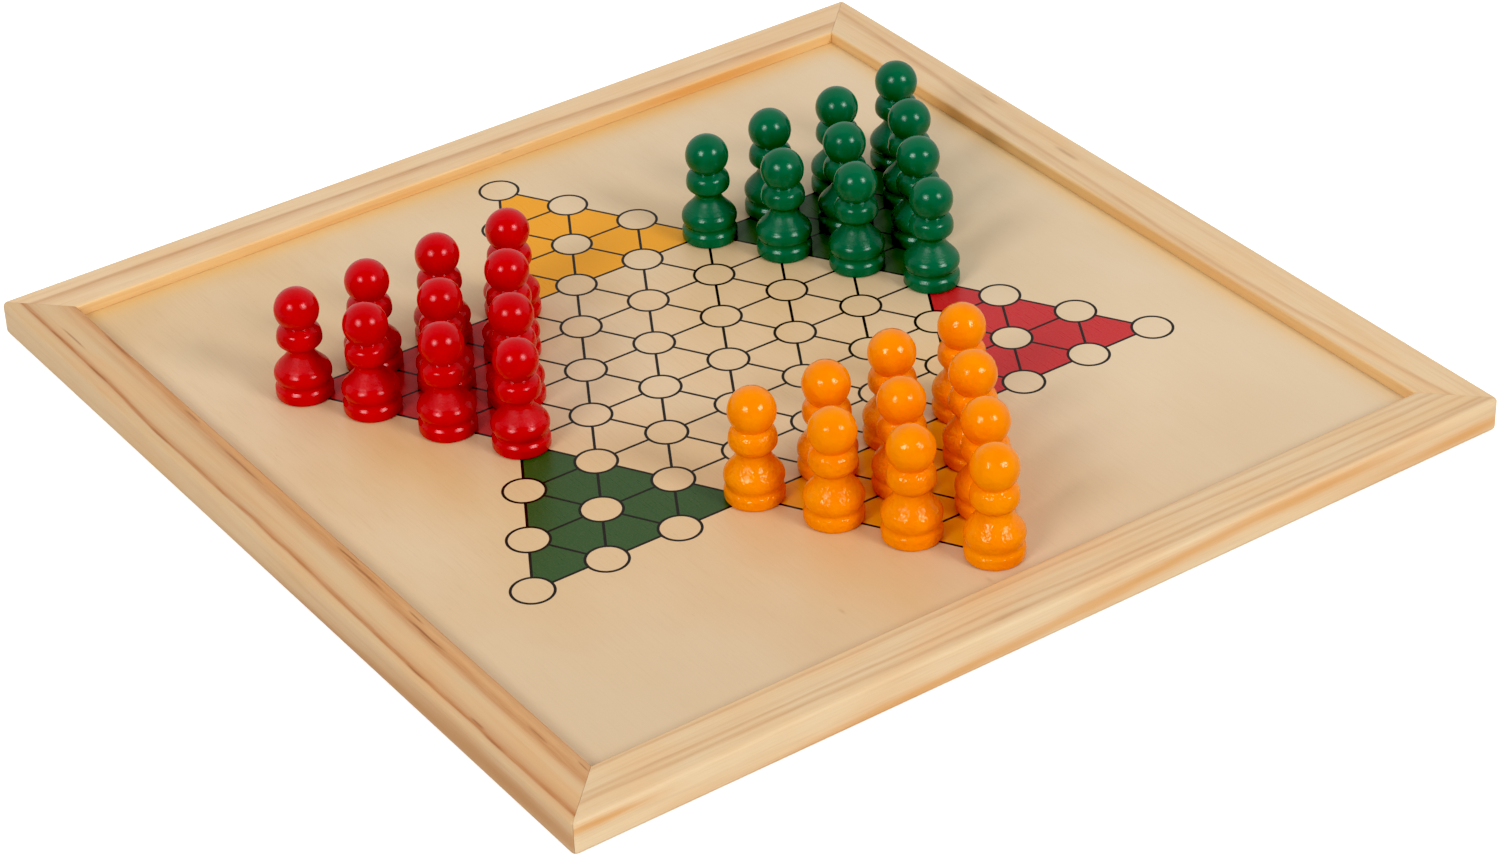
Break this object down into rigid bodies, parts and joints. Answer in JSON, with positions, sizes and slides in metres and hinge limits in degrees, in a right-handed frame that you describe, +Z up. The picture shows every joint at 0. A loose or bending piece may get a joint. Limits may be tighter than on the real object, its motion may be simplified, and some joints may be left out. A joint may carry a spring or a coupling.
{
  "type": "chinese checkers board",
  "caption": "Square framed wooden board printed with a six-pointed star of circles, with three groups of turned pawns standing on their home points.",
  "frame": {"origin": "centre of the underside, on the plane that the frame rests on", "axes": "+Z up; +X and +Y along the sides of the board, with two tips of the star on the Y axis and the yellow pawns towards -Y"},
  "size_m": [0.3, 0.3, 0.04],
  "materials": {
    "pine": "clear satin varnish over straight-grained pine",
    "birch_plywood": "clear semi-gloss varnish over printed birch plywood",
    "nail_steel": "plain steel",
    "red_paint": "gloss paint over turned wood",
    "green_paint": "gloss paint over turned wood",
    "yellow_paint": "thick gloss paint over turned wood"
  },
  "bodies": {
    "board": {"frame_rail_back_left": "pine", "frame_rail_front_left": "pine", "frame_rail_front_right": "pine", "frame_rail_back_right": "pine", "corner_nail_back": "nail_steel", "corner_nail_left": "nail_steel", "corner_nail_front": "nail_steel", "corner_nail_right": "nail_steel", "playing_panel": "birch_plywood"},
    "red_pawn_1": {"pawn_red_1": "red_paint"},
    "red_pawn_2": {"pawn_red_2": "red_paint"},
    "red_pawn_3": {"pawn_red_3": "red_paint"},
    "red_pawn_4": {"pawn_red_4": "red_paint"},
    "red_pawn_5": {"pawn_red_5": "red_paint"},
    "red_pawn_6": {"pawn_red_6": "red_paint"},
    "red_pawn_7": {"pawn_red_7": "red_paint"},
    "red_pawn_8": {"pawn_red_8": "red_paint"},
    "red_pawn_9": {"pawn_red_9": "red_paint"},
    "red_pawn_10": {"pawn_red_10": "red_paint"},
    "green_pawn_1": {"pawn_green_1": "green_paint"},
    "green_pawn_2": {"pawn_green_2": "green_paint"},
    "green_pawn_3": {"pawn_green_3": "green_paint"},
    "green_pawn_4": {"pawn_green_4": "green_paint"},
    "green_pawn_5": {"pawn_green_5": "green_paint"},
    "green_pawn_6": {"pawn_green_6": "green_paint"},
    "green_pawn_7": {"pawn_green_7": "green_paint"},
    "green_pawn_8": {"pawn_green_8": "green_paint"},
    "green_pawn_9": {"pawn_green_9": "green_paint"},
    "green_pawn_10": {"pawn_green_10": "green_paint"},
    "yellow_pawn_1": {"pawn_yellow_1": "yellow_paint"},
    "yellow_pawn_2": {"pawn_yellow_2": "yellow_paint"},
    "yellow_pawn_3": {"pawn_yellow_3": "yellow_paint"},
    "yellow_pawn_4": {"pawn_yellow_4": "yellow_paint"},
    "yellow_pawn_5": {"pawn_yellow_5": "yellow_paint"},
    "yellow_pawn_6": {"pawn_yellow_6": "yellow_paint"},
    "yellow_pawn_7": {"pawn_yellow_7": "yellow_paint"},
    "yellow_pawn_8": {"pawn_yellow_8": "yellow_paint"},
    "yellow_pawn_9": {"pawn_yellow_9": "yellow_paint"},
    "yellow_pawn_10": {"pawn_yellow_10": "yellow_paint"}
  },
  "joints": [
    {"name": "red_pawn_1_lift", "type": "slide", "parent": "board", "child": "red_pawn_1", "axis": [0, 0, 1], "range_m": [0, 0.05]},
    {"name": "red_pawn_2_lift", "type": "slide", "parent": "board", "child": "red_pawn_2", "axis": [0, 0, 1], "range_m": [0, 0.05]},
    {"name": "red_pawn_3_lift", "type": "slide", "parent": "board", "child": "red_pawn_3", "axis": [0, 0, 1], "range_m": [0, 0.05]},
    {"name": "red_pawn_4_lift", "type": "slide", "parent": "board", "child": "red_pawn_4", "axis": [0, 0, 1], "range_m": [0, 0.05]},
    {"name": "red_pawn_5_lift", "type": "slide", "parent": "board", "child": "red_pawn_5", "axis": [0, 0, 1], "range_m": [0, 0.05]},
    {"name": "red_pawn_6_lift", "type": "slide", "parent": "board", "child": "red_pawn_6", "axis": [0, 0, 1], "range_m": [0, 0.05]},
    {"name": "red_pawn_7_lift", "type": "slide", "parent": "board", "child": "red_pawn_7", "axis": [0, 0, 1], "range_m": [0, 0.05]},
    {"name": "red_pawn_8_lift", "type": "slide", "parent": "board", "child": "red_pawn_8", "axis": [0, 0, 1], "range_m": [0, 0.05]},
    {"name": "red_pawn_9_lift", "type": "slide", "parent": "board", "child": "red_pawn_9", "axis": [0, 0, 1], "range_m": [0, 0.05]},
    {"name": "red_pawn_10_lift", "type": "slide", "parent": "board", "child": "red_pawn_10", "axis": [0, 0, 1], "range_m": [0, 0.05]},
    {"name": "green_pawn_1_lift", "type": "slide", "parent": "board", "child": "green_pawn_1", "axis": [0, 0, 1], "range_m": [0, 0.05]},
    {"name": "green_pawn_2_lift", "type": "slide", "parent": "board", "child": "green_pawn_2", "axis": [0, 0, 1], "range_m": [0, 0.05]},
    {"name": "green_pawn_3_lift", "type": "slide", "parent": "board", "child": "green_pawn_3", "axis": [0, 0, 1], "range_m": [0, 0.05]},
    {"name": "green_pawn_4_lift", "type": "slide", "parent": "board", "child": "green_pawn_4", "axis": [0, 0, 1], "range_m": [0, 0.05]},
    {"name": "green_pawn_5_lift", "type": "slide", "parent": "board", "child": "green_pawn_5", "axis": [0, 0, 1], "range_m": [0, 0.05]},
    {"name": "green_pawn_6_lift", "type": "slide", "parent": "board", "child": "green_pawn_6", "axis": [0, 0, 1], "range_m": [0, 0.05]},
    {"name": "green_pawn_7_lift", "type": "slide", "parent": "board", "child": "green_pawn_7", "axis": [0, 0, 1], "range_m": [0, 0.05]},
    {"name": "green_pawn_8_lift", "type": "slide", "parent": "board", "child": "green_pawn_8", "axis": [0, 0, 1], "range_m": [0, 0.05]},
    {"name": "green_pawn_9_lift", "type": "slide", "parent": "board", "child": "green_pawn_9", "axis": [0, 0, 1], "range_m": [0, 0.05]},
    {"name": "green_pawn_10_lift", "type": "slide", "parent": "board", "child": "green_pawn_10", "axis": [0, 0, 1], "range_m": [0, 0.05]},
    {"name": "yellow_pawn_1_lift", "type": "slide", "parent": "board", "child": "yellow_pawn_1", "axis": [0, 0, 1], "range_m": [0, 0.05]},
    {"name": "yellow_pawn_2_lift", "type": "slide", "parent": "board", "child": "yellow_pawn_2", "axis": [0, 0, 1], "range_m": [0, 0.05]},
    {"name": "yellow_pawn_3_lift", "type": "slide", "parent": "board", "child": "yellow_pawn_3", "axis": [0, 0, 1], "range_m": [0, 0.05]},
    {"name": "yellow_pawn_4_lift", "type": "slide", "parent": "board", "child": "yellow_pawn_4", "axis": [0, 0, 1], "range_m": [0, 0.05]},
    {"name": "yellow_pawn_5_lift", "type": "slide", "parent": "board", "child": "yellow_pawn_5", "axis": [0, 0, 1], "range_m": [0, 0.05]},
    {"name": "yellow_pawn_6_lift", "type": "slide", "parent": "board", "child": "yellow_pawn_6", "axis": [0, 0, 1], "range_m": [0, 0.05]},
    {"name": "yellow_pawn_7_lift", "type": "slide", "parent": "board", "child": "yellow_pawn_7", "axis": [0, 0, 1], "range_m": [0, 0.05]},
    {"name": "yellow_pawn_8_lift", "type": "slide", "parent": "board", "child": "yellow_pawn_8", "axis": [0, 0, 1], "range_m": [0, 0.05]},
    {"name": "yellow_pawn_9_lift", "type": "slide", "parent": "board", "child": "yellow_pawn_9", "axis": [0, 0, 1], "range_m": [0, 0.05]},
    {"name": "yellow_pawn_10_lift", "type": "slide", "parent": "board", "child": "yellow_pawn_10", "axis": [0, 0, 1], "range_m": [0, 0.05]}
  ]
}
